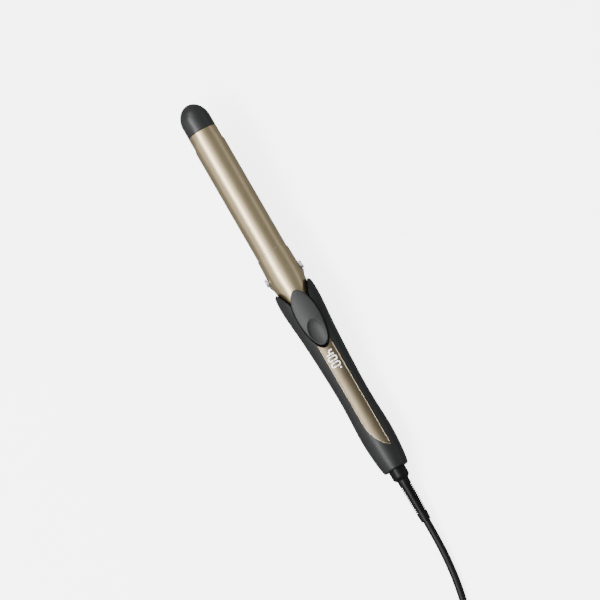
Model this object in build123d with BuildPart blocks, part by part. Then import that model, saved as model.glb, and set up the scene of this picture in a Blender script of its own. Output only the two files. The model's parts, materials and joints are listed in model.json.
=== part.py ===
from build123d import *

import os
from math import cos, pi, radians, sin, tan

os.makedirs("parts", exist_ok=True)

# Curling iron with a one inch barrel, a spring clamp, a flip-down stand, a
# digital handle and a swivel cord. Millimetres. Every piece of the iron is
# modelled on a straight axis: the clamp hinge is the origin, +X runs along the
# barrel to the cool tip, and +Z runs out through the thumb lever. At the end
# the whole iron is tilted onto its stand, with +Z up and the table at Z = 0.

# ---- barrel and cool tip
TIP_X = 160.0
CAP_DOME = 15.5
CAP_JOINT_X = 134.8
CAP_PLUG_LENGTH = 9.0
CAP_GROOVE = 0.4
BARREL_R = 12.65
BARREL_WALL = 1.0
BARREL_REAR_X = 4.0
BORE_R = BARREL_R - BARREL_WALL

# ---- heater
CARRIER_R = 11.4
CARRIER_WALL = 1.5
CARRIER_GAP = 2.2
CARRIER_X = (30.0, 118.0)
CERAMIC_SIZE = (36.0, 12.0, 3.8)
CERAMIC_X = (52.0, 96.0)
ELECTRODE_WIDTH = 10.0

# ---- clamp
SPOON_R = 12.9
SPOON_SHEET = 0.45
SPOON_TIP_X = 130.0
SPOON_SIDE_X = 118.5
SPOON_REAR_X = 6.0
BASE_FRONT_X = 20.6
BASE_SIDE_FRONT_X = 18.1
BASE_WALL = 1.15
BASE_LIP_R = 0.5
BASE_PROFILE = [(21.5, 14.0), (14, 14.12), (3, 14.5), (-6, 14.4), (-12.5, 13.6), (-24, 12.4), (-48, 12.1)]
HINGE_LUG_R = 4.5
LEVER_MID_X = -41.2
LEVER_FRONT = 23.4
LEVER_REAR = 26.7
LEVER_HALF_WIDTH = 9.3
LEVER_BOTTOM_Z = 12.5
LEVER_TOP_Z = 19.6
DENT_X = -56.4
DENT_SIZE = (11.2, 6.8, 3.0)

# ---- hinge screws and stand
SCREW_SHANK_R = 2.0
RUNNING_FIT = 0.06
SCREW_HEAD_R = 3.25
SCREW_HEAD_Y = (15.75, 17.0)
STAND_EAR_Y = (14.75, 15.65)
STAND_EAR_R = 3.7
STAND_BEND_Z = -4.6
STAND_FOOT_HALF = 12.4
STAND_FOOT = 8.0
STAND_SHEET = 1.0
STAND_LEAN = 4.0
REST_TILT = 5.5

# ---- handle
HANDLE_FRONT_X = -13.0
HANDLE_END_X = -182.2
HANDLE_WALL = 2.4
HANDLE_PROFILE = [
    (-17.5, 17.1), (-24, 17.35), (-45, 16.0), (-72, 14.2), (-96, 13.2), (-118, 12.85),
    (-134, 13.35), (-149, 13.85), (-164, 13.25), (-175, 12.15), (-181.4, 11.0),
]
HANDLE_MOUTH_R = 14.3
WELL_GAP = 1.0
WELL_REAR_GAP = 2.2
WELL_FLOOR_Z = -2.8
WELL_WALL = 1.4
WELL_FRONT_X = -27.0
INLAY_Y = (-6.3, 5.9)
INLAY_DEPTH = 1.1
INLAY_PROUD = 0.15
INLAY_BEVEL = 0.35
INLAY_STRAIGHT_X = -139.6
INLAY_END_X = -163.8

# ---- electronics
BOARD_X = (-147.0, -73.0)
BOARD_WIDTH = 17.0
BOARD_Z = 3.0
BOARD_THICK = 1.6
DISPLAY_X = -82.4
DIGIT_X = (-75.65, -81.0, -86.35)
DIGIT_Y = 0.3
DIGIT_HEIGHT = 7.7
DIGIT_WIDTH = 3.9
SEGMENT = 0.66
SEGMENTS = {"4": "bcfg", "0": "abcdef"}
DEGREE_PLACE = (-90.2, -2.2)
DEGREE_R = 0.6
BUTTON_X = {"power_button": -86.0, "temp_up_button": -99.0, "temp_down_button": -110.0}
BUTTON_ANGLE = 35.0
BUTTON_R = 3.2
BUTTON_PROUD = 0.5

# ---- swivel, strain relief and cord
SWIVEL_R = 7.25
SWIVEL_END_X = -190.8
FLANGE_X = (-178.0, -174.4)
BRUSHES = ((-165.8, 1), (-170.8, -1))
RELIEF_R = 4.85
RELIEF_END_R = 4.1
RELIEF_END_X = -230.0
RIB_START_X = -197.8
RIB_PITCH = 1.8
RIB_COUNT = 14
RIB_DEPTH = 1.0
RIB_GROOVE = 0.9
CORD_D = 6.2
HANK_LAYERS = 3
LEAD_ROUTE = [
    (-211.0, 0.0, 5.3), (-229.0, 0.9, 3.3), (-250.0, 3.4, 3.1), (-272.0, 8.2, 3.1),
    (-293.0, 15.0, 3.1), (-312.0, 21.4, 3.1), (-331.0, 24.4, 3.1),
]
TAIL_ROUTE = [
    (-308.0, 8.5, 19.2), (-315.5, 14.6, 20.9), (-326.0, 17.0, 23.2),
    (-336.5, 15.6, 25.5), (-346.5, 13.0, 26.8),
]
HANK_NEAR_X = -296.0
HANK_LENGTH = 121.0
HANK_END_R = 27.9
HANK_WAIST = 12.4
PLUG_Z = 26.8
PLUG_WIDTH = 24.0
PLUG_THICK = 16.0
PLUG_LENGTHS = (14.0, 8.0, 14.0)
BLADE = (17.0, 1.5, 6.3)
BLADE_SPACING = 12.7

PIECES = {}


def keep(name, part):
    """Label a finished piece of the iron and hold it for the rest placement."""
    part.label = name
    PIECES[name] = part


def revolved(points, name_mode=Mode.ADD):
    """Revolve a closed (x, r) outline about the iron's axis."""
    with BuildSketch(Plane.XZ) as face:
        with BuildLine():
            Polyline(*points, close=True)
        make_face()
    revolve(face.sketch, axis=Axis.X, mode=name_mode)


def profile_solid(points, offset_r, start, end):
    """Solid of revolution under a smooth profile, carried straight to the start and end."""
    shifted = [(x, r + offset_r) for x, r in points]
    with BuildPart() as solid:
        with BuildSketch(Plane.XZ):
            with BuildLine():
                Spline(*shifted)
                Polyline(shifted[-1], (end, shifted[-1][1]), (end, 0), (start, 0),
                         (start, shifted[0][1]), shifted[0])
            make_face()
        revolve(axis=Axis.X)
    return solid.part


def handle_outside():
    """Outer form of the handle: rounded front rim, flared front, waist and rounded tail."""
    with BuildPart() as solid:
        with BuildSketch(Plane.XZ):
            with BuildLine():
                first = HANDLE_PROFILE[0]
                last = HANDLE_PROFILE[-1]
                Line((HANDLE_FRONT_X, 0), (HANDLE_FRONT_X, HANDLE_MOUTH_R + 0.4))
                Spline((HANDLE_FRONT_X, HANDLE_MOUTH_R + 0.4), first, tangents=[(0.1, 1), (-1, 0.12)])
                Spline(*HANDLE_PROFILE)
                Line(last, (HANDLE_END_X, last[1] - 0.8))
                Line((HANDLE_END_X, last[1] - 0.8), (HANDLE_END_X, 0))
                Line((HANDLE_END_X, 0), (HANDLE_FRONT_X, 0))
            make_face()
        revolve(axis=Axis.X)
    return solid.part


def half_ellipses(mid_x, front, rear, half_width):
    """Closed egg outline made of two half ellipses that meet at mid_x."""
    with BuildSketch() as egg:
        with Locations((mid_x, 0)):
            Ellipse(front, half_width)
        split(bisect_by=Plane.YZ.offset(mid_x), keep=Keep.TOP)
        with BuildSketch(mode=Mode.PRIVATE) as tail:
            with Locations((mid_x, 0)):
                Ellipse(rear, half_width)
            split(bisect_by=Plane.YZ.offset(mid_x), keep=Keep.BOTTOM)
        add(tail.sketch)
    return egg.sketch


def egg_prism(front, rear, half_width, low, high):
    """Upright prism on the thumb lever's egg outline."""
    with BuildPart() as prism:
        with BuildSketch(Plane.XY.offset(low)):
            add(half_ellipses(LEVER_MID_X, front, rear, half_width))
        extrude(amount=high - low)
    return prism.part


def ellipsoid(centre, radii):
    """Ellipsoid with its three half axes along X, Y and Z."""
    return Pos(*centre) * scale(Sphere(1), by=radii)


# ------------------------------------------------------------------ barrel
def make_cool_tip():
    with BuildPart() as cool_tip:
        with BuildSketch(Plane.XZ):
            with BuildLine():
                dome_x = TIP_X - CAP_DOME
                EllipticalCenterArc((dome_x, 0), CAP_DOME, BARREL_R - 0.05, start_angle=0, arc_size=90)
                Polyline((dome_x, BARREL_R - 0.05), (CAP_JOINT_X + CAP_GROOVE, BARREL_R - 0.05),
                         (CAP_JOINT_X, BARREL_R - CAP_GROOVE), (CAP_JOINT_X, BORE_R - 0.05),
                         (CAP_JOINT_X - CAP_PLUG_LENGTH, BORE_R - 0.05), (CAP_JOINT_X - CAP_PLUG_LENGTH, 9),
                         (dome_x, 9), (dome_x + 8, 5), (dome_x + 8, 0), (TIP_X, 0))
            make_face()
        revolve(axis=Axis.X)
    keep("cool_tip", cool_tip.part)


def make_barrel():
    with BuildPart() as barrel:
        revolved([(BARREL_REAR_X, BORE_R), (BARREL_REAR_X, BARREL_R), (CAP_JOINT_X - CAP_GROOVE, BARREL_R),
                  (CAP_JOINT_X, BARREL_R - CAP_GROOVE), (CAP_JOINT_X, BORE_R)])
        add(barrel_screw_solids(), mode=Mode.SUBTRACT)
    keep("barrel", barrel.part)


def barrel_screw_solids():
    """Two countersunk screws, set in from below, that hold the barrel on its mount."""
    with BuildPart() as screws:
        for side in (-1, 1):
            down = Vector(0, side * sin(radians(40)), -cos(radians(40)))
            with BuildSketch(Plane(origin=Vector(12, 0, 0) + down * 9.2, z_dir=down)):
                Circle(1.25)
            extrude(amount=BARREL_R - 9.3)
    return screws.part


def make_heater():
    with BuildPart() as carriers:
        for side in (-1, 1):
            with BuildSketch(Plane.YZ.offset(CARRIER_X[0])):
                Circle(CARRIER_R)
                with Locations((0, -side * (CARRIER_R - CARRIER_GAP))):
                    Rectangle(3 * CARRIER_R, 2 * CARRIER_R, mode=Mode.SUBTRACT)
                with BuildSketch(mode=Mode.PRIVATE) as hollow:
                    Circle(CARRIER_R - CARRIER_WALL)
                    with Locations((0, -side * (CARRIER_R - CARRIER_GAP - CARRIER_WALL))):
                        Rectangle(3 * CARRIER_R, 2 * CARRIER_R, mode=Mode.SUBTRACT)
                add(hollow.sketch, mode=Mode.SUBTRACT)
            extrude(amount=CARRIER_X[1] - CARRIER_X[0])
    keep("heater_carriers", carriers.part)

    with BuildPart() as ceramics:
        with Locations(*[(x, 0, 0) for x in CERAMIC_X]):
            Box(*CERAMIC_SIZE)
    keep("ceramic_heaters", ceramics.part)

    with BuildPart() as electrodes:
        middle = sum(CARRIER_X) / 2
        sheet = CARRIER_GAP - CERAMIC_SIZE[2] / 2
        for side in (-1, 1):
            with Locations((middle, 0, side * (CARRIER_GAP - sheet / 2))):
                Box(CARRIER_X[1] - CARRIER_X[0] - 8, ELECTRODE_WIDTH, sheet)
            with Locations((CARRIER_X[0] - 1, side * 3, side * (CARRIER_GAP - sheet / 2))):
                Box(12, 3, sheet)
    keep("electrode_plates", electrodes.part)

    with BuildPart() as thermistor:
        with BuildSketch(Plane.YZ.offset(71)):
            Circle(1.3)
        extrude(amount=6)
        fillet(thermistor.edges(), 0.6)
    keep("thermistor", thermistor.part)

    with BuildPart() as thermal_fuse:
        with BuildSketch(Plane.YZ.offset(14)):
            with Locations((0, 4.4)):
                Circle(1.7)
        extrude(amount=10)
        fillet(thermal_fuse.edges(), 0.5)
    keep("thermal_fuse", thermal_fuse.part)


def make_barrel_mount():
    """Heat-proof base: plug in the barrel, tapered hinge core, lower cover and screw tongue."""
    with BuildPart() as mount:
        revolved([(22, 0), (22, BORE_R - 0.1), (BARREL_REAR_X, BORE_R - 0.1), (BARREL_REAR_X, BARREL_R),
                  (2, BARREL_R), (HANDLE_FRONT_X - 1, 9.8), (HANDLE_FRONT_X - 1, 0)])
        with BuildSketch(Plane.YZ.offset(-36)):
            Circle(13.2)
            with Locations((0, 15)):
                Rectangle(40, 40, mode=Mode.SUBTRACT)
        extrude(amount=34)
        with BuildSketch(Plane.YZ.offset(-12.7)):
            Circle(14.1)
            Circle(13.0, mode=Mode.SUBTRACT)
            with Locations((0, 14.7)):
                Rectangle(40, 40, mode=Mode.SUBTRACT)
        extrude(amount=29.7)
        with BuildSketch(Plane.YZ.offset(-12.7)):
            Circle(13.1)
            with Locations((0, 11.6)):
                Rectangle(40, 40, mode=Mode.SUBTRACT)
        extrude(amount=15)
        with BuildSketch(Plane.YZ.offset(-15)):
            Circle(7)
        extrude(amount=40, mode=Mode.SUBTRACT)
        for side in (-1, 1):
            with Locations((-26, side * 6, -6.5)):
                Box(40, 4, 5, mode=Mode.SUBTRACT)
            with BuildSketch(Plane.XZ.offset(-side * 8 if side < 0 else -8)):
                Circle(SCREW_SHANK_R)
            extrude(amount=-8 if side > 0 else 24, mode=Mode.SUBTRACT)
        with BuildSketch(Plane.XY.offset(-14)):
            with Locations((-30, 0)):
                Circle(1.4)
        extrude(amount=7, mode=Mode.SUBTRACT)
        add(barrel_screw_solids(), mode=Mode.SUBTRACT)
    keep("barrel_mount", mount.part)
    keep("barrel_screws", barrel_screw_solids())


# ------------------------------------------------------------------ clamp
def make_clamp_spoon():
    with BuildPart() as spoon:
        with BuildSketch(Plane.YZ.offset(SPOON_REAR_X)):
            Circle(SPOON_R + SPOON_SHEET)
            Circle(SPOON_R, mode=Mode.SUBTRACT)
            with Locations((0, -20.5)):
                Rectangle(40, 40, mode=Mode.SUBTRACT)
        extrude(amount=SPOON_TIP_X - SPOON_REAR_X)
        with BuildSketch(Plane.XY.offset(-2)):
            with Locations(((SPOON_REAR_X + SPOON_SIDE_X) / 2, 0)):
                Rectangle(SPOON_SIDE_X - SPOON_REAR_X, 30)
            with Locations((SPOON_SIDE_X, 0)):
                Ellipse(SPOON_TIP_X - SPOON_SIDE_X, SPOON_R + SPOON_SHEET + 0.4)
        extrude(amount=20, mode=Mode.INTERSECT)
    keep("clamp_spoon", spoon.part)


def make_clamp_base():
    """Flared half shell over the hinge, with a neck and an arm that run back under the lever."""
    with BuildPart() as base:
        add(profile_solid(BASE_PROFILE, 0, 22, -50))
        add(profile_solid(BASE_PROFILE, -BASE_WALL, 23, -51), mode=Mode.SUBTRACT)
        revolved([(SPOON_REAR_X - 0.5, 0), (SPOON_REAR_X - 0.5, SPOON_R + SPOON_SHEET + 0.02),
                  (30, SPOON_R + SPOON_SHEET + 0.02), (30, 0)], Mode.SUBTRACT)
        with BuildSketch(Plane.XY.offset(-6)):
            with BuildLine():
                ThreePointArc((BASE_SIDE_FRONT_X, -16), (BASE_FRONT_X, 0), (BASE_SIDE_FRONT_X, 16))
                Polyline((BASE_SIDE_FRONT_X, 16), (-12.5, 16), (-13.5, 13.9), (-26, 8.7), (-48, 6),
                         (-48, -6), (-26, -8.7), (-13.5, -13.9), (-12.5, -16), (BASE_SIDE_FRONT_X, -16))
            make_face()
        extrude(amount=24, mode=Mode.INTERSECT)
        with BuildSketch(Plane.XZ.offset(-20)):
            with Locations((-15, 14)):
                Rectangle(80, 30)
            Circle(HINGE_LUG_R)
        extrude(amount=40, mode=Mode.INTERSECT)
        with BuildSketch(Plane.XZ.offset(-20)):
            Circle(SCREW_SHANK_R + RUNNING_FIT)
        extrude(amount=40, mode=Mode.SUBTRACT)
        fillet(base.faces().sort_by(Axis.X)[-1].edges().sort_by(Axis.Z)[-1], BASE_LIP_R)
    keep("clamp_base", base.part)


def make_thumb_lever():
    crown = ellipsoid((LEVER_MID_X - 1, 0, 9.2), (36, 15.5, LEVER_TOP_Z - 9.2))
    dent = ellipsoid((DENT_X, 0, LEVER_TOP_Z), DENT_SIZE)
    with BuildPart() as lever:
        add(egg_prism(LEVER_FRONT, LEVER_REAR, LEVER_HALF_WIDTH, LEVER_BOTTOM_Z, LEVER_TOP_Z + 2))
        add(crown, mode=Mode.INTERSECT)
        add(dent, mode=Mode.SUBTRACT)
    with BuildPart() as screws:
        for x in (-31, -43):
            with BuildSketch(Plane.XY.offset(9.6)):
                with Locations((x, 0)):
                    Circle(2.0)
            extrude(amount=1.2)
            with BuildSketch(Plane.XY.offset(10.8)):
                with Locations((x, 0)):
                    Circle(1.1)
            extrude(amount=4.4)
    with BuildPart() as fitted:
        add(lever.part)
        add(screws.part, mode=Mode.SUBTRACT)
    keep("thumb_lever", fitted.part)
    with BuildPart() as arm:
        add(PIECES["clamp_base"])
        add(screws.part, mode=Mode.SUBTRACT)
        add(fitted.part, mode=Mode.SUBTRACT)
    keep("clamp_base", arm.part)
    keep("lever_screws", screws.part)


def make_clamp_spring():
    """Compression spring between the mount's tongue and the clamp's arm."""
    with BuildPart() as spring:
        with BuildLine(Plane(origin=(-21, 0, -4.55))) as coil:
            Helix(pitch=2.3, height=14.0, radius=2.6)
        with BuildSketch(Plane(origin=coil.line @ 0, z_dir=coil.line % 0)):
            Circle(0.4)
        sweep(path=coil.line, is_frenet=True)
    keep("clamp_spring", spring.part)


# ------------------------------------------------------------------ hinge and stand
def make_hinge_screws():
    with BuildPart() as screws:
        for side in (-1, 1):
            out = Vector(0, side, 0)
            with BuildSketch(Plane(origin=out * 8, z_dir=out)):
                Circle(SCREW_SHANK_R)
            extrude(amount=SCREW_HEAD_Y[0] - 8)
            with BuildSketch(Plane(origin=out * SCREW_HEAD_Y[0], z_dir=out)):
                Circle(SCREW_HEAD_R)
            extrude(amount=SCREW_HEAD_Y[1] - SCREW_HEAD_Y[0])
            with BuildSketch(Plane(origin=out * SCREW_HEAD_Y[1], z_dir=out)):
                Rectangle(4.2, 0.9)
                Rectangle(0.9, 4.2)
            extrude(amount=-0.7, mode=Mode.SUBTRACT)
    keep("hinge_screws", screws.part)


def make_stand(pivot_height):
    """Folded sheet stand: two ears on the hinge screws, two legs bent inwards and a flat foot."""
    tilt = radians(REST_TILT)
    table_right = Vector(cos(tilt), 0, -sin(tilt))
    foot_x = -pivot_height * tan(radians(STAND_LEAN))
    half = STAND_FOOT / 2
    side_view = Plane(origin=(0, 0, 0), x_dir=table_right, z_dir=(0, -1, 0))
    front_view = Plane(origin=(0, 0, 0), x_dir=(0, 1, 0), z_dir=table_right)
    with BuildPart() as stand:
        with BuildSketch(side_view.offset(-STAND_EAR_Y[1])):
            Circle(STAND_EAR_R)
            with BuildLine():
                Polyline((-STAND_EAR_R, 0), (STAND_EAR_R, 0), (foot_x + half, STAND_SHEET - pivot_height),
                         (foot_x + half, -pivot_height), (foot_x - half, -pivot_height),
                         (foot_x - half, STAND_SHEET - pivot_height), close=True)
            make_face()
        extrude(amount=2 * STAND_EAR_Y[1])
        for half_width, low, mode in (
            (STAND_EAR_Y[1], -pivot_height, Mode.INTERSECT),
            (STAND_EAR_Y[0], STAND_SHEET - pivot_height, Mode.SUBTRACT),
        ):
            foot_half = STAND_FOOT_HALF - STAND_EAR_Y[1] + half_width
            with BuildSketch(front_view):
                with BuildLine():
                    Polyline((foot_half, low), (half_width, STAND_BEND_Z), (half_width, STAND_EAR_R + 1),
                             (-half_width, STAND_EAR_R + 1), (-half_width, STAND_BEND_Z), (-foot_half, low),
                             close=True)
                make_face()
            extrude(amount=30, both=True, mode=mode)
        with BuildSketch(side_view.offset(-20)):
            Circle(SCREW_SHANK_R + RUNNING_FIT)
        extrude(amount=40, mode=Mode.SUBTRACT)
    keep("stand", stand.part)


# ------------------------------------------------------------------ handle
def handle_skin():
    """The hollow handle before it is split into its two shells."""
    inner_end = HANDLE_END_X + 4
    inner_points = [(x, r) for x, r in HANDLE_PROFILE if x > inner_end]
    with BuildPart() as skin:
        add(handle_outside())
        add(profile_solid(inner_points, -HANDLE_WALL, HANDLE_FRONT_X + 1, inner_end), mode=Mode.SUBTRACT)
        with BuildSketch(Plane.YZ.offset(HANDLE_END_X - 1)):
            Circle(SWIVEL_R + RUNNING_FIT)
        extrude(amount=8, mode=Mode.SUBTRACT)
    return skin.part


def inlay_outline(grow=0.0):
    """Plan of the inlay: straight sides and a tail that curves across like a knife tip."""
    right, left = INLAY_Y
    with BuildSketch() as outline:
        with BuildLine():
            Line((-64, right - grow), (INLAY_END_X - grow, right - grow))
            Spline((INLAY_END_X - grow, right - grow), (INLAY_END_X + 2.8 - grow, -2.1),
                   (INLAY_END_X + 8.4 - grow, 1.7 + grow), (INLAY_END_X + 16.4, 4.85 + grow),
                   (INLAY_STRAIGHT_X, left + grow), tangents=[(0.1, 1), (1, 0)])
            Line((INLAY_STRAIGHT_X, left + grow), (-64, left + grow))
            Line((-64, left + grow), (-64, right - grow))
        make_face()
    return outline.sketch


def inlay_band(grow, low_offset, high_offset):
    """Part of the handle's skin under the inlay's plan, between two depths."""
    with BuildPart() as band:
        with BuildSketch(Plane.XY.offset(2)):
            add(inlay_outline(grow))
        extrude(amount=20)
        add(profile_solid(HANDLE_PROFILE, high_offset, HANDLE_FRONT_X, HANDLE_END_X), mode=Mode.INTERSECT)
        inside = profile_solid(HANDLE_PROFILE, low_offset, HANDLE_FRONT_X + 2, HANDLE_END_X - 2)
        add(inside, mode=Mode.SUBTRACT)
    return band.part


def well_prism(grow, low, high):
    """Upright prism on the outline of the well that the thumb lever sinks into."""
    gap = WELL_GAP + grow
    return egg_prism(LEVER_FRONT + gap, LEVER_REAR + WELL_REAR_GAP + grow, LEVER_HALF_WIDTH + gap, low, high)


def button_plane(x):
    """Plane at a button, on the iron's axis, looking out through the handle's side."""
    angle = radians(BUTTON_ANGLE)
    return Plane(origin=(x, 0, 0), x_dir=(1, 0, 0), z_dir=(0, -cos(angle), -sin(angle)))


def make_handle():
    skin = handle_skin()
    with BuildPart() as upper:
        add(skin)
        split(bisect_by=Plane.XY, keep=Keep.TOP)
        add(well_liner())
        with BuildSketch(Plane.XY.offset(-1)):
            with BuildLine():
                Polyline((-10, 15), (-10, -15), (-13, -14.2), (-17.5, -12.6), (-26, -9.2), (-32, -8),
                         (-32, 8), (-26, 9.2), (-17.5, 12.6), (-13, 14.2), close=True)
            make_face()
        extrude(amount=30, mode=Mode.SUBTRACT)
        add(well_prism(0, WELL_FLOOR_Z, 30), mode=Mode.SUBTRACT)
        add(inlay_band(0.0, -INLAY_DEPTH - 0.02, 2), mode=Mode.SUBTRACT)
        with BuildSketch(Plane.XY.offset(4)):
            with Locations((DISPLAY_X, 0)):
                Rectangle(19, 10.4)
        extrude(amount=20, mode=Mode.SUBTRACT)
        with BuildSketch(Plane.XY.offset(-6)):
            with Locations((-155, 0)):
                Circle(2.6)
                Circle(1.1, mode=Mode.SUBTRACT)
        extrude(amount=18)
    keep("handle_upper", upper.part)

    with BuildPart() as screws:
        for x, top in ((-30, -8), (-50, -5.5), (-155, 3.0)):
            bottom = -handle_radius(x) + 1.2
            with BuildSketch(Plane.XY.offset(bottom)):
                with Locations((x, 0)):
                    Circle(2.4)
            extrude(amount=1.4)
            with BuildSketch(Plane.XY.offset(bottom + 1.4)):
                with Locations((x, 0)):
                    Circle(1.1)
            extrude(amount=top - bottom - 1.4)
    keep("handle_screws", screws.part)

    with BuildPart() as lower:
        add(skin)
        split(bisect_by=Plane.XY, keep=Keep.BOTTOM)
        for x in (-30, -50, -155):
            with BuildSketch(Plane.XY.offset(-handle_radius(x) + 1.0)):
                with Locations((x, 0)):
                    Circle(3.6)
            extrude(amount=2.6)
            with BuildSketch(Plane.XY.offset(-20)):
                with Locations((x, 0)):
                    Circle(2.45)
            extrude(amount=20 - handle_radius(x) + 1.2, mode=Mode.SUBTRACT)
        add(screws.part, mode=Mode.SUBTRACT)
        for x in BUTTON_X.values():
            with BuildSketch(button_plane(x).offset(8)):
                Circle(BUTTON_R + 0.12)
            extrude(amount=10, mode=Mode.SUBTRACT)
    keep("handle_lower", lower.part)


def well_liner():
    """Walls and floor of the lever well, closed against the inside of the skin."""
    with BuildPart() as liner:
        add(well_prism(WELL_WALL, WELL_FLOOR_Z - WELL_WALL, 17))
        with Locations((WELL_FRONT_X - 50, 0, 0)):
            Box(100, 60, 60, mode=Mode.INTERSECT)
        add(profile_solid(HANDLE_PROFILE, -0.8, HANDLE_FRONT_X, HANDLE_END_X), mode=Mode.INTERSECT)
        with BuildSketch(Plane.XY.offset(-6.5)):
            with Locations((-50, 0)):
                Circle(3.0)
        extrude(amount=3)
        with BuildSketch(Plane.XY.offset(-6.5)):
            with Locations((-50, 0)):
                Circle(1.1)
        extrude(amount=1.5, mode=Mode.SUBTRACT)
    return liner.part


def handle_radius(x):
    """Handle radius at x, between the profile's points."""
    for (x0, r0), (x1, r1) in zip(HANDLE_PROFILE, HANDLE_PROFILE[1:]):
        if x1 <= x <= x0:
            return r0 + (r1 - r0) * (x - x0) / (x1 - x0)
    return HANDLE_PROFILE[0][1]


# ------------------------------------------------------------------ inlay and display
def digit_segments():
    """Prisms of the lit reading: a 4, two noughts and a degree mark, read from the tip."""
    high = DIGIT_HEIGHT / 2 - SEGMENT / 2
    side = DIGIT_WIDTH / 2 - SEGMENT / 2
    long_side = DIGIT_HEIGHT / 2 - 1.5 * SEGMENT - 0.2
    short_side = DIGIT_WIDTH - 2 * SEGMENT - 0.2
    places = {
        "a": (0, -high, short_side, SEGMENT),
        "g": (0, 0, short_side, SEGMENT),
        "d": (0, high, short_side, SEGMENT),
        "f": (side, -high / 2, SEGMENT, long_side), "b": (-side, -high / 2, SEGMENT, long_side),
        "e": (side, high / 2, SEGMENT, long_side), "c": (-side, high / 2, SEGMENT, long_side),
    }
    with BuildPart() as digits:
        with BuildSketch(Plane.XY.offset(11.4)):
            for x, figure in zip(DIGIT_X, "400"):
                for segment in SEGMENTS[figure]:
                    dx, dy, width, height = places[segment]
                    with Locations((x + dx, DIGIT_Y + dy)):
                        Rectangle(width, height)
            with Locations(DEGREE_PLACE):
                Circle(DEGREE_R)
        extrude(amount=6)
        lit_skin = profile_solid(HANDLE_PROFILE, INLAY_PROUD + 0.04, HANDLE_FRONT_X, HANDLE_END_X)
        add(lit_skin, mode=Mode.INTERSECT)
    return digits.part


def make_inlay_and_display():
    digits = digit_segments()
    with BuildPart() as inlay:
        add(inlay_band(0, -INLAY_DEPTH, INLAY_PROUD))
        add(well_prism(0.15, 0, 30), mode=Mode.SUBTRACT)
        chamfer(inlay.faces().sort_by(Axis.Z)[-1].edges(), INLAY_BEVEL)
        add(digits, mode=Mode.SUBTRACT)
    keep("handle_inlay", inlay.part)
    keep("display_digits", digits)
    with BuildPart() as module:
        with Locations((DISPLAY_X, 0, (BOARD_Z + BOARD_THICK + 11.35) / 2)):
            Box(18.4, 9.8, 11.35 - BOARD_Z - BOARD_THICK)
    keep("display_module", module.part)


# ------------------------------------------------------------------ electronics
def make_electronics():
    with BuildPart() as board:
        with BuildSketch(Plane.XY.offset(BOARD_Z)):
            with Locations(((BOARD_X[0] + BOARD_X[1]) / 2, 0)):
                RectangleRounded(BOARD_X[1] - BOARD_X[0], BOARD_WIDTH, 1.5)
        extrude(amount=BOARD_THICK)
    keep("control_board", board.part)

    top = BOARD_Z + BOARD_THICK
    with BuildPart() as triac:
        with Locations((-99, 0, top + 1.6)):
            Box(10, 10, 3.2)
        with Locations((-108, 0, top + 0.5)):
            Box(8, 10, 1.0)
    keep("triac", triac.part)

    with BuildPart() as capacitor:
        with Locations((-121, 0, top + 2.1)):
            Box(13, 9.4, 4.2)
        fillet(capacitor.edges().filter_by(Axis.Z), 1.0)
    keep("film_capacitor", capacitor.part)

    with BuildPart() as fuse:
        with BuildSketch(Plane.YZ.offset(-143)):
            with Locations((0, top + 2.0)):
                Circle(2.0)
        extrude(amount=11)
    keep("board_fuse", fuse.part)

    with BuildPart() as key_board:
        plane = button_plane(-98.5)
        with BuildSketch(plane.offset(4.0)):
            RectangleRounded(36, 9.6, 1)
        extrude(amount=1.2)
    keep("button_board", key_board.part)

    with BuildPart() as switches:
        for x in BUTTON_X.values():
            with BuildSketch(button_plane(x).offset(5.2)):
                Rectangle(6, 6)
            extrude(amount=2.2)
            with BuildSketch(button_plane(x).offset(7.4)):
                Circle(1.6)
            extrude(amount=0.9)
    keep("button_switches", switches.part)


def make_buttons():
    for name, x in BUTTON_X.items():
        outer = handle_radius(x) + BUTTON_PROUD
        with BuildPart() as button:
            with BuildSketch(button_plane(x).offset(8.9)):
                Circle(BUTTON_R + 0.7)
            extrude(amount=0.6)
            with BuildSketch(button_plane(x).offset(9.5)):
                Circle(BUTTON_R)
            extrude(amount=outer - 9.5)
            outward = Axis(origin=(x, 0, 0), direction=button_plane(x).z_dir)
            fillet(button.faces().sort_by(outward)[-1].edges(), 0.5)
            with BuildSketch(button_plane(x).offset(outer)):
                if name == "power_button":
                    Circle(1.5)
                    Circle(1.05, mode=Mode.SUBTRACT)
                else:
                    Rectangle(0.5, 2.6)
                if name == "temp_up_button":
                    Rectangle(2.6, 0.5)
            extrude(amount=-0.25, mode=Mode.SUBTRACT)
        keep(name, button.part)


def lead(points, radius, wire_radius):
    """One insulated wire along straight runs with rounded corners."""
    with BuildPart() as wire:
        with BuildLine() as path:
            FilletPolyline(*points, radius=radius)
        with BuildSketch(Plane(origin=path.line @ 0, z_dir=path.line % 0)):
            Circle(wire_radius)
        sweep(path=path.line)
    return wire.part


def make_leads():
    with BuildPart() as heater_leads:
        for side in (-1, 1):
            route = [(22.5, side * 5.2, 0), (-15, side * 5.2, 0), (-19, side * 6, -7.2),
                     (-72, side * 6, -7.2), (-76.5, side * 5, 1.4), (-79.8, side * 5, 1.9)]
            add(lead(route, 2.0, 0.8))
    keep("heater_leads", heater_leads.part)
    with BuildPart() as mains_leads:
        for brush_x, side in BRUSHES:
            add(lead([(-141, side * 5, 1.9), (-150, side * 6, 1.6), (-157, side * 6, -4),
                      (brush_x + 1.1, side * 5.8, -4.6)], 2.0, 0.9))
    keep("mains_leads", mains_leads.part)


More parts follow.
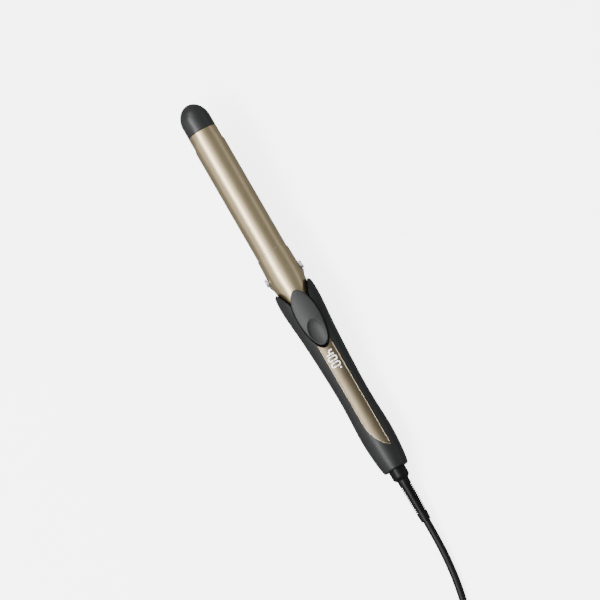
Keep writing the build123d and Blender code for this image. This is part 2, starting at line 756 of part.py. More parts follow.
# ------------------------------------------------------------------ swivel and strain relief
def make_swivel():
    with BuildPart() as body:
        revolved([(-163, 0), (-163, 3.4), (FLANGE_X[1], 3.4), (FLANGE_X[1], 8.9), (FLANGE_X[0], 8.9),
                  (FLANGE_X[0], SWIVEL_R), (-189.6, SWIVEL_R), (SWIVEL_END_X, SWIVEL_R - 0.6),
                  (SWIVEL_END_X, 0)])
    keep("swivel_body", body.part)

    with BuildPart() as rings:
        for x in (-165, -170):
            with BuildSketch(Plane.YZ.offset(x - 2)):
                Circle(4.1)
                Circle(3.4, mode=Mode.SUBTRACT)
            extrude(amount=2.5)
    keep("slip_rings", rings.part)

    with BuildPart() as brushes:
        for x, side in BRUSHES:
            with Locations((x, side * 5.8, -3.6)):
                Box(1.8, 1.6, 5)
            with Locations((x, side * 5.3, 0)):
                Box(1.8, 2.0, 2.6)
    keep("contact_brushes", brushes.part)

    with BuildPart() as retainer:
        with BuildSketch(Plane.YZ.offset(-174.2)):
            Circle(9.6)
            Circle(4.4, mode=Mode.SUBTRACT)
        extrude(amount=1.8)
    keep("swivel_retainer", retainer.part)

    outline = [(SWIVEL_END_X, 0), (SWIVEL_END_X, SWIVEL_R - 0.9), (-192.6, RELIEF_R), (RIB_START_X, RELIEF_R)]
    for index in range(RIB_COUNT):
        x = RIB_START_X - RIB_PITCH * index
        top = RELIEF_R - 0.05 * max(0, index - 6)
        outline += [(x, top - RIB_DEPTH), (x - RIB_GROOVE, top - RIB_DEPTH)]
        outline += [(x - RIB_GROOVE, top), (x - RIB_PITCH, top)]
    outline += [(RELIEF_END_X, RELIEF_END_R), (RELIEF_END_X, 0)]
    with BuildPart() as relief:
        revolved(outline)
    keep("strain_relief", relief.part)


# ------------------------------------------------------------------ cord
def corner_radii(points):
    """Largest arcs that the runs allow: 0.45 of the shorter run over the tangent of half the turn."""
    radii = []
    for before, corner, after in zip(points, points[1:], points[2:]):
        run_in = Vector(*corner) - Vector(*before)
        run_out = Vector(*after) - Vector(*corner)
        half_turn = radians(run_in.get_angle(run_out)) / 2
        radii.append(0.45 * min(run_in.length, run_out.length) / tan(half_turn))
    return radii


def cord_tube(name, points):
    radii = corner_radii(points)
    with BuildPart() as tube:
        with BuildLine() as path:
            FilletPolyline(*points, radius=radii)
        with BuildSketch(Plane(origin=path.line @ 0, z_dir=path.line % 0)):
            Circle(CORD_D / 2)
        sweep(path=path.line)
    length = sum(edge.length for edge in path.edges())
    volume = tube.part.volume / (length * pi * CORD_D ** 2 / 4)
    print(name, "length", round(length, 1), "volume ratio", round(volume, 4),
          "radii", [round(r) for r in radii])
    return tube.part


def hank_solid():
    """Outer shape of the folded and tied cord: two round ends drawn together at a waist."""
    near = HANK_NEAR_X - HANK_END_R
    far = HANK_NEAR_X - HANK_LENGTH + HANK_END_R
    middle = (near + far) / 2
    with BuildPart() as hank:
        with BuildSketch():
            with Locations((near, 0), (far, 0)):
                Circle(HANK_END_R)
            with BuildLine():
                Spline((near, HANK_END_R), (middle, HANK_WAIST), (far, HANK_END_R),
                       tangents=[(-1, 0), (-1, 0)])
                Line((far, HANK_END_R), (far, -HANK_END_R))
                Spline((far, -HANK_END_R), (middle, -HANK_WAIST), (near, -HANK_END_R),
                       tangents=[(1, 0), (1, 0)])
                Line((near, -HANK_END_R), (near, HANK_END_R))
            make_face()
        extrude(amount=HANK_LAYERS * CORD_D)
    return hank.part


def make_cord(exit_point):
    hank = hank_solid()
    with BuildPart() as lead_tube:
        add(cord_tube("cord_lead", [exit_point] + LEAD_ROUTE))
        add(hank, mode=Mode.SUBTRACT)
    middle = HANK_NEAR_X - HANK_LENGTH / 2
    with BuildPart() as tie:
        with BuildSketch(Plane.YZ.offset(middle - 5)):
            with Locations((0, HANK_LAYERS * CORD_D / 2 + 0.6)):
                RectangleRounded(2 * HANK_WAIST + 3.4, HANK_LAYERS * CORD_D + 1.2, 3)
        extrude(amount=10)
        add(hank, mode=Mode.SUBTRACT)
    plug_x = TAIL_ROUTE[-1][0]
    plug_y = TAIL_ROUTE[-1][1]
    neck_x = plug_x - PLUG_LENGTHS[0]
    shoulder_x = neck_x - PLUG_LENGTHS[1]
    with BuildPart() as plug:
        with BuildSketch(Plane.YZ.offset(plug_x)):
            with Locations((plug_y, PLUG_Z)):
                Circle(4.2)
        with BuildSketch(Plane.YZ.offset(neck_x)):
            with Locations((plug_y, PLUG_Z)):
                Circle(5.4)
        loft()
        with BuildSketch(Plane.YZ.offset(neck_x)):
            with Locations((plug_y, PLUG_Z)):
                RectangleRounded(15, 13, 4)
        with BuildSketch(Plane.YZ.offset(shoulder_x)):
            with Locations((plug_y, PLUG_Z)):
                RectangleRounded(PLUG_WIDTH, PLUG_THICK, 5)
        loft()
        with BuildSketch(Plane.YZ.offset(shoulder_x)):
            with Locations((plug_y, PLUG_Z)):
                RectangleRounded(PLUG_WIDTH, PLUG_THICK, 5)
        extrude(amount=-PLUG_LENGTHS[2])
    with BuildPart() as tail_tube:
        add(cord_tube("cord_tail", TAIL_ROUTE))
        add(hank, mode=Mode.SUBTRACT)
        add(plug.part, mode=Mode.SUBTRACT)
    face_x = shoulder_x - PLUG_LENGTHS[2]
    with BuildPart() as blades:
        for side in (-1, 1):
            with Locations((face_x - BLADE[0] / 2, plug_y + side * BLADE_SPACING / 2, PLUG_Z)):
                Box(*BLADE)
    return {
        "cord_lead": lead_tube.part, "cord_hank": hank, "cord_tie": tie.part, "cord_tail": tail_tube.part,
        "plug_body": plug.part, "plug_blades": blades.part,
    }


# ------------------------------------------------------------------ assembly
make_cool_tip()
make_barrel()
make_heater()
make_barrel_mount()
make_clamp_spoon()
make_clamp_base()
make_thumb_lever()
make_clamp_spring()
make_hinge_screws()
make_handle()
make_inlay_and_display()
make_electronics()
make_buttons()
make_leads()
make_swivel()

tilted = Location((0, 0, 0), (0, -REST_TILT, 0))
pivot_height = -(tilted * PIECES["handle_lower"]).bounding_box().min.Z
make_stand(pivot_height)

boxes = [(tilted * piece).bounding_box() for piece in PIECES.values()]
centre_x = -(min(box.min.X for box in boxes) + max(box.max.X for box in boxes)) / 2
rest = Location((centre_x, 0, pivot_height), (0, -REST_TILT, 0))

for name, piece in PIECES.items():
    placed = rest * piece
    placed.label = name
    export_step(placed, f"parts/{name}.step")

exit_place = (rest * Pos(RELIEF_END_X - 0.15, 0, 0)).position
for name, piece in make_cord(tuple(exit_place)).items():
    piece.label = name
    export_step(piece, f"parts/{name}.step")

print("pivot", [round(v, 3) for v in rest.position], "cord exit", [round(v, 3) for v in exit_place])
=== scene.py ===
import json
from math import cos, pi, radians, sin, sqrt

import bmesh
import bpy
from mathutils import Matrix, Vector
from mathutils.bvhtree import BVHTree


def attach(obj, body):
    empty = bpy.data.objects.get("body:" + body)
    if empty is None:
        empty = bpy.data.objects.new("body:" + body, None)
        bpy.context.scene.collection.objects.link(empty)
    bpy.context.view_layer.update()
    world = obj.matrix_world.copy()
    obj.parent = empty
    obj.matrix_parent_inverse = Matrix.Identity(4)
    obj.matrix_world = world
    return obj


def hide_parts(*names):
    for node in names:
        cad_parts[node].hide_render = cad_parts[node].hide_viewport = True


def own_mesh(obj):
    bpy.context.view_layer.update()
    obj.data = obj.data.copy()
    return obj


# Looks for the curling iron. Everything is in metres, in the frame of the CAD
# model. The iron's own straight axis starts at the clamp hinge and is tilted by
# the heat stand, so places on the iron are given in its own millimetres. The
# cord's places are in the frame's millimetres.

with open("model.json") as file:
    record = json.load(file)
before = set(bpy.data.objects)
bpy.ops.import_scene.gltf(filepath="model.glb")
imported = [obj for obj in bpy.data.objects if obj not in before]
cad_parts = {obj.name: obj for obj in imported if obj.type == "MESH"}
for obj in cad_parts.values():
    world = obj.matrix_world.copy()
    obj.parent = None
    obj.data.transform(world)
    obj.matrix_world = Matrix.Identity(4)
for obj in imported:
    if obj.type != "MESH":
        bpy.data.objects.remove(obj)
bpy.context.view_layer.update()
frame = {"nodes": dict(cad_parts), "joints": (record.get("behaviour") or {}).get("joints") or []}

MM = 0.001
TILT = radians(5.5)
PIVOT = Vector(next(j["pos_m"] for j in frame["joints"] if j["name"] == "clamp_hinge"))
IRON = Matrix.Translation(PIVOT) @ Matrix.Rotation(-TILT, 4, "Y")


def on_iron(x, y, z):
    """A place on the iron, in its own millimetres, as a point of the frame."""
    return IRON @ Vector((x * MM, y * MM, z * MM))


# ------------------------------------------------------------------ camera
VIEW_TILT = radians(13.5)
VIEW_ROLL = radians(30.0)
VIEW_DISTANCE = 3.0
VIEW_WIDTH = 0.4854
VIEW_AIM = (12.78 * MM, -20.99 * MM)


def make_camera():
    """Long lens above the iron, leaning towards its tail, with the tip up and to the left."""
    out = Vector((-sin(VIEW_TILT), 0, cos(VIEW_TILT)))
    along = Vector((cos(VIEW_TILT), 0, sin(VIEW_TILT)))
    across = Vector((0, 1, 0))
    right = -sin(VIEW_ROLL) * along - cos(VIEW_ROLL) * across
    up = cos(VIEW_ROLL) * along - sin(VIEW_ROLL) * across
    aim = PIVOT + right * VIEW_AIM[0] + up * VIEW_AIM[1]
    data = bpy.data.cameras.new("camera")
    data.sensor_width = 36.0
    data.lens = data.sensor_width * VIEW_DISTANCE / VIEW_WIDTH
    data.clip_end = 20.0
    camera = bpy.data.objects.new("camera", data)
    turn = Matrix((right, up, out)).transposed().to_4x4()
    camera.matrix_world = Matrix.Translation(aim + out * VIEW_DISTANCE) @ turn
    bpy.context.scene.collection.objects.link(camera)
    bpy.context.scene.camera = camera


# ------------------------------------------------------------------ stage
def area_light(name, place, size, power):
    """Rectangular light that looks at the iron."""
    data = bpy.data.lights.new(name, "AREA")
    data.shape = "RECTANGLE"
    data.size = size[0]
    data.size_y = size[1]
    data.energy = power
    light = bpy.data.objects.new(name, data)
    light.location = place
    light.rotation_euler = (-Vector(place)).to_track_quat("-Z", "Y").to_euler()
    bpy.context.scene.collection.objects.link(light)


LIGHTS = {
    "key": ((-0.1, 1.1, 1.75), (2.6, 0.5), 82),
    "front": ((1.55, 0.45, 1.6), (0.8, 0.9), 14),
    "left": ((-0.1, 2.2, 0.5), (2.8, 0.7), 8),
    "fill": ((-0.1, -1.7, 0.5), (2.4, 0.3), 3),
    "top": ((0.0, 0.5, 2.6), (3.0, 1.3), 18),
}
WORLD_STRENGTH = 0.36
FLOOR_HALF = 4.0
FLOOR_GLOW = 4.2


def make_floor():
    """Pale floor that glows near white and, hidden from reflections and bounced light, lights nothing."""
    mesh = bpy.data.meshes.new("floor")
    half = FLOOR_HALF
    corners = [(-half, -half, 0), (half, -half, 0), (half, half, 0), (-half, half, 0)]
    mesh.from_pydata(corners, [], [(0, 1, 2, 3)])
    floor = bpy.data.objects.new("floor", mesh)
    bpy.context.scene.collection.objects.link(floor)
    floor.visible_glossy = False
    floor.visible_diffuse = False
    material, shader = new_material("floor_paper")
    shader.inputs["Base Color"].default_value = (0.93, 0.93, 0.93, 1)
    shader.inputs["Roughness"].default_value = 0.9
    shader.inputs["Specular IOR Level"].default_value = 0.1
    shader.inputs["Emission Color"].default_value = (1, 1, 1, 1)
    shader.inputs["Emission Strength"].default_value = FLOOR_GLOW
    mesh.materials.append(material)


def make_stage():
    """Floor and soft studio light: long key from the iron's left, one at the tip, one above, two fills."""
    make_floor()
    for name, (place, size, power) in LIGHTS.items():
        area_light(name, place, size, power)
    world = bpy.data.worlds.new("studio")
    world.use_nodes = True
    background = world.node_tree.nodes["Background"]
    background.inputs["Color"].default_value = (0.95, 0.97, 1.0, 1)
    background.inputs["Strength"].default_value = WORLD_STRENGTH
    bpy.context.scene.world = world


# ------------------------------------------------------------------ materials
def new_material(name):
    material = bpy.data.materials.new(name)
    material.use_nodes = True
    return material, material.node_tree.nodes["Principled BSDF"]


def link(material, a, out, b, into):
    material.node_tree.links.new(a.outputs[out], b.inputs[into])


def add_node(material, kind, **values):
    node = material.node_tree.nodes.new(kind)
    for key, value in values.items():
        node.inputs[key].default_value = value
    return node


def surface_noise(material, size_mm, stretch=(1, 1, 1), detail=2.0):
    """Noise in the piece's own space, with grains of the given size, stretched along the iron if asked."""
    where = add_node(material, "ShaderNodeTexCoord")
    turn = add_node(material, "ShaderNodeMapping", Rotation=(0, TILT, 0), Scale=stretch)
    noise = add_node(material, "ShaderNodeTexNoise", Scale=1 / (size_mm * MM), Detail=detail)
    link(material, where, "Object", turn, "Vector")
    link(material, turn, "Vector", noise, "Vector")
    return noise


def spread(material, source, out, low, high):
    """Turn a 0 to 1 value into a range."""
    node = add_node(material, "ShaderNodeMapRange")
    node.inputs["To Min"].default_value = low
    node.inputs["To Max"].default_value = high
    link(material, source, out, node, "Value")
    return node


def tint(material, shader, noise, dark, light):
    """Base colour that wanders between two close tones."""
    ramp = add_node(material, "ShaderNodeValToRGB")
    ramp.color_ramp.elements[0].position = 0.3
    ramp.color_ramp.elements[1].position = 0.7
    ramp.color_ramp.elements[0].color = (*dark, 1)
    ramp.color_ramp.elements[1].color = (*light, 1)
    link(material, noise, "Fac", ramp, "Fac")
    link(material, ramp, "Color", shader, "Base Color")


def bump(material, shader, noise, height_mm, strength=1.0):
    node = add_node(material, "ShaderNodeBump", Strength=strength, Distance=height_mm * MM)
    link(material, noise, "Fac", node, "Height")
    link(material, node, "Normal", shader, "Normal")


def satin_gold(name, dark, light, roughness, grain_mm, stretch):
    """Champagne gold coating: fine directional grain over a soft metal sheen."""
    material, shader = new_material(name)
    shader.inputs["Metallic"].default_value = 1.0
    grain = surface_noise(material, grain_mm, stretch, 4.0)
    cloud = surface_noise(material, 14.0)
    tint(material, shader, cloud, dark, light)
    rough = spread(material, grain, "Fac", roughness - 0.05, roughness + 0.06)
    link(material, rough, "Result", shader, "Roughness")
    bump(material, shader, grain, 0.006, 0.35)
    return material


def moulded(name, dark, light, roughness, grain_mm=0.35, height_mm=0.02, specular=0.5):
    """Moulded plastic or rubber with a fine spark texture and slow changes of tone."""
    material, shader = new_material(name)
    shader.inputs["Specular IOR Level"].default_value = specular
    grain = surface_noise(material, grain_mm, (1, 1, 1), 3.0)
    cloud = surface_noise(material, 9.0)
    tint(material, shader, cloud, dark, light)
    rough = spread(material, grain, "Fac", roughness - 0.06, roughness + 0.08)
    link(material, rough, "Result", shader, "Roughness")
    bump(material, shader, grain, height_mm, 0.5)
    return material


def bare_metal(name, dark, light, roughness, grain_mm=0.4, stretch=(1, 1, 1)):
    material, shader = new_material(name)
    shader.inputs["Metallic"].default_value = 1.0
    grain = surface_noise(material, grain_mm, stretch, 4.0)
    tint(material, shader, grain, dark, light)
    rough = spread(material, grain, "Fac", roughness - 0.06, roughness + 0.08)
    link(material, rough, "Result", shader, "Roughness")
    bump(material, shader, grain, 0.01, 0.3)
    return material


def lit_display(name):
    """Diffuser lit from behind, its glow and tone wandering a little over the surface."""
    material, shader = new_material(name)
    cloud = surface_noise(material, 1.2)
    tint(material, shader, cloud, (0.75, 0.8, 0.85), (0.9, 0.93, 0.95))
    shader.inputs["Roughness"].default_value = 0.35
    shader.inputs["Emission Color"].default_value = (0.93, 0.97, 1.0, 1)
    glow = spread(material, cloud, "Fac", 2.6, 3.4)
    link(material, glow, "Result", shader, "Emission Strength")
    return material


def make_materials():
    along = (0.08, 1, 1)
    return {
        "gold": satin_gold("gold_coating", (0.49, 0.395, 0.235), (0.53, 0.43, 0.26), 0.36, 0.5, along),
        "inlay": satin_gold("gold_inlay", (0.17, 0.137, 0.088), (0.195, 0.158, 0.102), 0.46, 0.35, along),
        # light gold for the bead on the bell's lip: a painted highlight where its rounded front edge catches
        # the light
        "lip_highlight": satin_gold("gold_lip_painted_highlight", (0.80, 0.68, 0.46), (0.86, 0.74, 0.52), 0.30, 0.5, along),
        # light gold for the beads along the strip's bevel: a painted highlight on both its edges
        "edge": satin_gold("gold_edge", (0.62, 0.53, 0.37), (0.68, 0.58, 0.41), 0.34, 0.5, along),
        "handle": moulded("handle_plastic", (0.0125, 0.0128, 0.0128), (0.0155, 0.0158, 0.0158), 0.42,
                          specular=0.3),
        "tip": moulded("tip_plastic", (0.015, 0.0155, 0.0155), (0.018, 0.0186, 0.0186), 0.38, specular=0.38),
        "lever": moulded("lever_plastic", (0.030, 0.0315, 0.031), (0.034, 0.0355, 0.035), 0.56,
                         specular=0.36),
        "button": moulded("button_plastic", (0.015, 0.015, 0.016), (0.02, 0.02, 0.021), 0.42, specular=0.35),
        "mount": moulded("mount_plastic", (0.008, 0.008, 0.008), (0.012, 0.012, 0.012), 0.55, specular=0.25),
        "swivel": moulded("swivel_plastic", (0.0035, 0.0035, 0.0036), (0.005, 0.005, 0.0052), 0.36,
                          specular=0.16),
        "relief": moulded("relief_rubber", (0.003, 0.003, 0.0031), (0.0045, 0.0045, 0.0047), 0.36,
                          specular=0.16),
        "cord": moulded("cord_jacket", (0.004, 0.004, 0.0042), (0.006, 0.006, 0.0062), 0.42, 0.5, 0.03, 0.18),
        "plug": moulded("plug_rubber", (0.005, 0.005, 0.0052), (0.008, 0.008, 0.0083), 0.48, 0.4, 0.03, 0.2),
        "tie": moulded("tie_plastic", (0.01, 0.01, 0.011), (0.018, 0.018, 0.019), 0.6, 0.8, 0.1, 0.2),
        "board": moulded("board_laminate", (0.01, 0.07, 0.03), (0.015, 0.09, 0.04), 0.35, 0.8, 0.01),
        "part": moulded("part_case", (0.02, 0.02, 0.02), (0.04, 0.04, 0.04), 0.4),
        "film": moulded("film_case", (0.35, 0.18, 0.02), (0.42, 0.22, 0.03), 0.35),
        "ceramic": moulded("heater_ceramic", (0.6, 0.57, 0.5), (0.7, 0.67, 0.6), 0.7),
        "wire": moulded("wire_cover", (0.55, 0.55, 0.52), (0.65, 0.65, 0.62), 0.5),
        "glass": moulded("fuse_glass", (0.5, 0.52, 0.5), (0.6, 0.62, 0.6), 0.15),
        "steel": bare_metal("steel", (0.5, 0.5, 0.5), (0.62, 0.62, 0.62), 0.34, 0.4, along),
        "bright": bare_metal("bright_screw", (0.72, 0.71, 0.69), (0.85, 0.84, 0.82), 0.22),
        "aluminium": bare_metal("aluminium", (0.68, 0.69, 0.7), (0.78, 0.79, 0.8), 0.35),
        "brass": bare_metal("brass", (0.72, 0.55, 0.25), (0.82, 0.65, 0.32), 0.3),
        "blade": bare_metal("blade_metal", (0.66, 0.62, 0.52), (0.78, 0.74, 0.64), 0.26),
        "light": lit_display("display_light"),
    }


NODE_MATERIAL = {
    "gold": ["barrel", "clamp_spoon", "clamp_base"],
    "inlay": ["handle_inlay"],
    "handle": ["handle_upper", "handle_lower"],
    "tip": ["cool_tip"],
    "lever": ["thumb_lever"],
    "button": ["power_button", "temp_up_button", "temp_down_button"],
    "mount": ["barrel_mount"],
    "swivel": ["swivel_body", "swivel_retainer"],
    "relief": ["strain_relief"],
    "cord": ["cord_lead", "cord_hank", "cord_tail"],
    "plug": ["plug_body"],
    "tie": ["cord_tie"],
    "board": ["control_board", "button_board"],
    "part": ["display_module", "button_switches", "triac"],
    "film": ["film_capacitor"],
    "ceramic": ["ceramic_heaters"],
    "wire": ["heater_leads", "mains_leads"],
    "glass": ["board_fuse", "thermistor"],
    "steel": ["stand", "clamp_spring", "barrel_screws", "lever_screws", "handle_screws"],
    "bright": ["hinge_screws"],
    "aluminium": ["heater_carriers", "thermal_fuse"],
    "brass": ["electrode_plates", "slip_rings", "contact_brushes"],
    "blade": ["plug_blades"],
    "light": ["display_digits"],
}


def dress_cad_nodes(materials):
    for key, names in NODE_MATERIAL.items():
        for name in names:
            node = frame["nodes"][name]
            node.data.materials.clear()
            node.data.materials.append(materials[key])


# ------------------------------------------------------------------ thumb lever
LEVER_MID_X = -41.2
LEVER_FRONT = 23.4
LEVER_REAR = 26.7
LEVER_HALF_WIDTH = 9.6
LEVER_BOTTOM_Z = 12.5
LEVER_TOP_Z = 19.6
LEVER_RIM = 0.7
LEVER_RIM_STEPS = [(0.35, 0.06), (0.8, 0.38), (1.0, 0.85)]
LEVER_FOOT = 0.3
LEVER_FOOT_SCALE = 0.985
CROWN_BASE_Z = 9.2
CROWN_X = -42.2
CROWN_HALF = (36.0, 15.5)
DENT_X = -56.4
DENT_HALF = (11.0, 6.8)
DENT_DEPTH = 4.3
DENT_EDGE = 0.66
LEVER_RINGS = 64
LEVER_SPOKES = 160


def lever_top(x, y):
    """Height of the lever's crown with the thumb dent let into its tail."""
    along = (x - CROWN_X) / CROWN_HALF[0]
    across = y / CROWN_HALF[1]
    crown = CROWN_BASE_Z + (LEVER_TOP_Z - CROWN_BASE_Z) * sqrt(max(0.0, 1 - along ** 2 - across ** 2))
    spot = ((x - DENT_X) / DENT_HALF[0]) ** 2 + (y / DENT_HALF[1]) ** 2
    if spot < 1:
        crown -= DENT_DEPTH * (1 - spot) ** DENT_EDGE
    return crown


def make_thumb_lever(material):
    """Egg-shaped lever cap: rings from the middle out, a chamfered rim, a wall and a flat underside."""
    shape = bmesh.new()

    def ring(scale, height):
        points = []
        for spoke in range(LEVER_SPOKES):
            angle = 2 * pi * spoke / LEVER_SPOKES
            reach = LEVER_FRONT if cos(angle) > 0 else LEVER_REAR
            x = LEVER_MID_X + reach * scale * cos(angle)
            y = LEVER_HALF_WIDTH * scale * sin(angle)
            points.append(shape.verts.new(on_iron(x, y, height(x, y))))
        return points

    rim = 1 - LEVER_RIM / LEVER_HALF_WIDTH
    rings = [ring(rim * sqrt(step / LEVER_RINGS), lever_top) for step in range(1, LEVER_RINGS + 1)]
    for share, drop in LEVER_RIM_STEPS:
        rings.append(ring(rim + share * (1 - rim), lambda x, y: lever_top(x, y) - drop))
    rings.append(ring(1.0, lambda x, y: LEVER_BOTTOM_Z + LEVER_FOOT))
    rings.append(ring(LEVER_FOOT_SCALE, lambda x, y: LEVER_BOTTOM_Z))
    middle = shape.verts.new(on_iron(LEVER_MID_X, 0, lever_top(LEVER_MID_X, 0)))
    below = shape.verts.new(on_iron(LEVER_MID_X, 0, LEVER_BOTTOM_Z))
    for spoke in range(LEVER_SPOKES):
        after = (spoke + 1) % LEVER_SPOKES
        shape.faces.new((middle, rings[0][spoke], rings[0][after]))
        for inner, outer in zip(rings, rings[1:]):
            shape.faces.new((inner[spoke], outer[spoke], outer[after], inner[after]))
        shape.faces.new((below, rings[-1][after], rings[-1][spoke]))
    mesh = bpy.data.meshes.new("lever_cap")
    shape.to_mesh(mesh)
    shape.free()
    mesh.shade_smooth()
    mesh.materials.append(material)
    lever = bpy.data.objects.new("lever_cap", mesh)
    bpy.context.scene.collection.objects.link(lever)
    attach(lever, "clamp")
    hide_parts("thumb_lever")


# ------------------------------------------------------------------ clamp spring
SPRING_X = -21
SPRING_FOOT_Z = -4.55
SPRING_LENGTH = 14.0
SPRING_PITCH = 2.3
SPRING_R = 2.6
SPRING_WIRE_R = 0.4
SPRING_STEPS = 32
SPRING_SIDES = 10


def make_clamp_spring(material):
    """Coil between the barrel mount and the lever's arm."""
    shape = bmesh.new()
    count = round(SPRING_LENGTH / SPRING_PITCH * SPRING_STEPS)
    rings = []
    for step in range(count + 1):
        angle = 2 * pi * step / SPRING_STEPS
        height = SPRING_FOOT_Z + SPRING_LENGTH * step / count
        ring = []
        for side in range(SPRING_SIDES):
            around = 2 * pi * side / SPRING_SIDES
            reach = SPRING_R + SPRING_WIRE_R * cos(around)
            place = on_iron(SPRING_X + reach * cos(angle), reach * sin(angle),
                            height + SPRING_WIRE_R * sin(around))
            ring.append(shape.verts.new(place))
        rings.append(ring)
    for low, high in zip(rings, rings[1:]):
        for side in range(SPRING_SIDES):
            after = (side + 1) % SPRING_SIDES
            shape.faces.new((low[side], low[after], high[after], high[side]))
    shape.faces.new(rings[0][::-1])
    shape.faces.new(rings[-1])
    bmesh.ops.recalc_face_normals(shape, faces=shape.faces)
    mesh = bpy.data.meshes.new("clamp_coil")
    shape.to_mesh(mesh)
    shape.free()
    mesh.shade_smooth()
    mesh.materials.append(material)
    coil = bpy.data.objects.new("clamp_coil", mesh)
    bpy.context.scene.collection.objects.link(coil)
    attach(coil, "root")
    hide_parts("clamp_spring")
    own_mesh(coil)


# ------------------------------------------------------------------ rolled and bevelled edges, painted with highlights
LIP_CHORD_X = 20.6
LIP_PLAN_R = 52.45
LIP_INSET = 0.3
LIP_BEAD = 0.5
LIP_REACH = 12
LIP_MIDDLE_Y = 1.5
LIP_FADE_Y = 9.0
LIP_LEAST = 0.2
INLAY_RIGHT_Y = -6.05
INLAY_LEFT_Y = 5.65
INLAY_FRONT_X = -69
INLAY_STRAIGHT_X = -139.6
INLAY_TAIL = [(-147.4, 4.6), (-155.2, 1.5), (-160.7, -2.2), (-163.4, -5.9)]
INLAY_BEAD = 0.24
BEAD_SINK = 0.35
OVERHEAD = 40


def surface_of(name):
    """The outer surface of a CAD node, ready to be touched from above."""
    node = frame["nodes"][name]
    corners = [node.matrix_world @ vertex.co for vertex in node.data.vertices]
    return BVHTree.FromPolygons(corners, [tuple(face.vertices) for face in node.data.polygons])


def make_bead(name, on_node, places, radius, material, body):
    """A fine bead that lies along places (x, y, share of the radius) on a node's surface."""
    tree = surface_of(on_node)
    down = IRON.to_3x3() @ Vector((0, 0, -1))
    spots = []
    for x, y, share in places:
        hit = tree.ray_cast(on_iron(x, y, OVERHEAD), down)[0]
        if hit is not None:
            spots.append((hit, share))
    data = bpy.data.curves.new(name, "CURVE")
    data.dimensions = "3D"
    data.bevel_depth = radius * MM
    data.bevel_resolution = 3
    data.use_fill_caps = True
    line = data.splines.new("POLY")
    line.points.add(len(spots) - 1)
    for point, (hit, share) in zip(line.points, spots):
        point.co = (*(hit + down * radius * share * BEAD_SINK * MM), 1)
        point.radius = share
    data.materials.append(material)
    bead = bpy.data.objects.new(name, data)
    bpy.context.scene.collection.objects.link(bead)
    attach(bead, body)


def make_edges(lip_highlight, edge):
    """Rolled lip on the front of the clamp's bell and the bevel around the handle's strip, as beads in light
    gold: painted highlights.
    """
    bell = []
    for step in range(-2 * LIP_REACH, 2 * LIP_REACH + 1):
        y = step / 2
        x = LIP_CHORD_X - LIP_INSET - (LIP_PLAN_R - sqrt(LIP_PLAN_R ** 2 - y ** 2))
        bell.append((x, y, max(LIP_LEAST, 1 - ((y - LIP_MIDDLE_Y) / LIP_FADE_Y) ** 2)))
    # the bead is coloured light gold, a painted highlight on the bell's rounded front edge
    make_bead("bell_lip_highlight", "clamp_base", bell, LIP_BEAD, lip_highlight, "clamp")
    right = [(x, INLAY_RIGHT_Y, 1) for x in range(INLAY_FRONT_X, int(INLAY_TAIL[-1][0]), -2)]
    left = [(x, INLAY_LEFT_Y, 1) for x in range(INLAY_FRONT_X, int(INLAY_STRAIGHT_X), -2)]
    tail = [(x, y, 1) for x, y in INLAY_TAIL]
    # beads in light gold along the strip's sides: a painted highlight on its bevel
    make_bead("inlay_edge_right", "handle_inlay", right, INLAY_BEAD, edge, "root")
    make_bead("inlay_edge_left", "handle_inlay", left + tail, INLAY_BEAD, edge, "root")


# ------------------------------------------------------------------ cord
CORD_D = 6.2
CORD_EXIT = (-194.079, 0.0, 6.928)
LEAD_ROUTE = [
    (-211.0, 0.0, 5.3), (-229.0, 0.9, 3.3), (-250.0, 3.4, 3.1), (-272.0, 8.2, 3.1),
    (-293.0, 15.0, 3.1), (-312.0, 21.4, 3.1), (-331.0, 24.4, 3.1),
]
TAIL_ROUTE = [
    (-308.0, 8.5, 19.2), (-315.5, 14.6, 20.9), (-326.0, 17.0, 23.2), (-336.5, 15.6, 25.5),
    (-346.5, 13.0, 26.8),
]
HANK_NEAR_X = -296.0
HANK_LENGTH = 121.0
HANK_END_R = 27.9
HANK_CELLS = [(1, 0), (0, 0), (0, 1), (1, 1), (1, 2), (0, 2)]
RING_SHIFT = [0.0, -1.8, 0.0, 1.8, 0.0, -1.8]
RUN_STEPS = (0.12, 0.3, 0.5, 0.7, 0.88)
END_TURNS = (12, 51, 90, 129, 168)
CORNER_REACH = 1.05
TOP_RISE = 5.8


def hank_cell(cell):
    """Fold radius, waist offset and height of a strand, from its column and layer."""
    column, layer = cell
    return Vector((HANK_END_R - CORD_D * (1.5 - column), CORD_D * (0.5 + column), CORD_D * (0.5 + layer)))


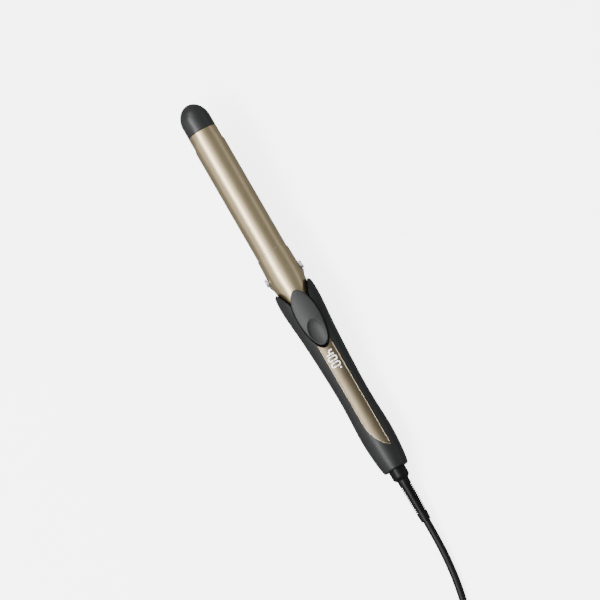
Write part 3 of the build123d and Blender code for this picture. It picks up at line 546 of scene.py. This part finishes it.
def hank_points():
    """Turns of the tied hank, from the run that the lead joins to the last fold, which climbs to the plug."""
    near = HANK_NEAR_X - HANK_END_R
    far = HANK_NEAR_X - HANK_LENGTH + HANK_END_R
    points = []

    def run(cell, side, steps):
        radius, waist, height = cell
        for step in steps:
            pull = (cos(2 * pi * step) + 1) / 2
            points.append((near + (far - near) * step, side * (waist + (radius - waist) * pull), height))

    for turn, start in enumerate(HANK_CELLS):
        here = hank_cell(start)
        first = 1 if turn == 0 else 0
        run(here, 1, RUN_STEPS[first:])
        for angle in END_TURNS:
            reach = here[0] * CORNER_REACH
            points.append((far - reach * sin(radians(angle)), reach * cos(radians(angle)), here[2]))
        run(here, -1, RUN_STEPS[::-1])
        last = turn == len(HANK_CELLS) - 1
        there = here + Vector((0, 0, TOP_RISE)) if last else hank_cell(HANK_CELLS[turn + 1])
        for place, angle in enumerate(END_TURNS[:3] if last else END_TURNS):
            mixed = here.lerp(there, place / (len(END_TURNS) - 1))
            shift = RING_SHIFT[turn] * sin(radians(angle))
            reach = (mixed[0] + shift) * CORNER_REACH
            points.append((near + reach * sin(radians(angle)), -reach * cos(radians(angle)), mixed[2]))
    return points


def make_cord(material):
    points = [CORD_EXIT] + LEAD_ROUTE + hank_points() + TAIL_ROUTE
    data = bpy.data.curves.new("cord", "CURVE")
    data.dimensions = "3D"
    data.bevel_depth = CORD_D / 2 * MM
    data.bevel_resolution = 8
    data.use_fill_caps = True
    line = data.splines.new("NURBS")
    line.points.add(len(points) - 1)
    for spot, (x, y, z) in zip(line.points, points):
        spot.co = (x * MM, y * MM, z * MM, 1)
    line.order_u = 3
    line.use_endpoint_u = True
    line.resolution_u = 8
    data.materials.append(material)
    cord = bpy.data.objects.new("cord", data)
    bpy.context.scene.collection.objects.link(cord)
    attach(cord, "root")
    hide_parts("cord_lead", "cord_hank", "cord_tail")


# ------------------------------------------------------------------ the scene
materials = make_materials()
make_camera()
make_cord(materials["cord"])
dress_cad_nodes(materials)
make_thumb_lever(materials["lever"])
make_clamp_spring(materials["steel"])
make_edges(materials["lip_highlight"], materials["edge"])
make_stage()
